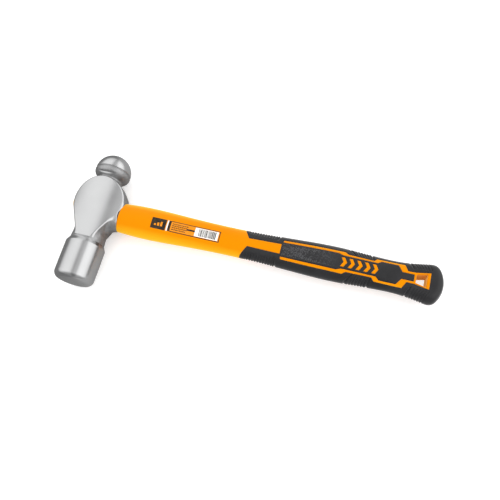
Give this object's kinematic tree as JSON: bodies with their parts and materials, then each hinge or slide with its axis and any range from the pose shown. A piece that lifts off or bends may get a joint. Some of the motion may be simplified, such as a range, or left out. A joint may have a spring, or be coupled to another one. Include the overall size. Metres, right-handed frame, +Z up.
{
  "type": "ball peen hammer",
  "caption": "Ball peen hammer with a forged steel head, a fibreglass-cored handle with an orange sleeve, and a black rubber grip with a hang hole.",
  "frame": {"origin": "bottom centre of the bounding box of the whole hammer, lying on its side", "axes": "+X along the handle from the head to the butt, +Y along the strike axis from the poll to the ball, +Z up, out of the front cheek"},
  "size_m": [0.3543, 0.1348, 0.0376],
  "materials": {
    "forged_steel": "satin, fine ground",
    "fibreglass": "pultruded rod",
    "resin": "cured epoxy",
    "seal_rubber": "matt",
    "sleeve_orange": "smooth moulded",
    "grip_rubber": "soft moulded, textured",
    "label_film": "printed film"
  },
  "bodies": {
    "root": {"hammer_head": "forged_steel", "fibreglass_core": "fibreglass", "eye_resin": "resin", "eye_seal": "seal_rubber", "handle_sleeve": "sleeve_orange", "rubber_grip": "grip_rubber", "front_label": "label_film"}
  },
  "joints": []
}
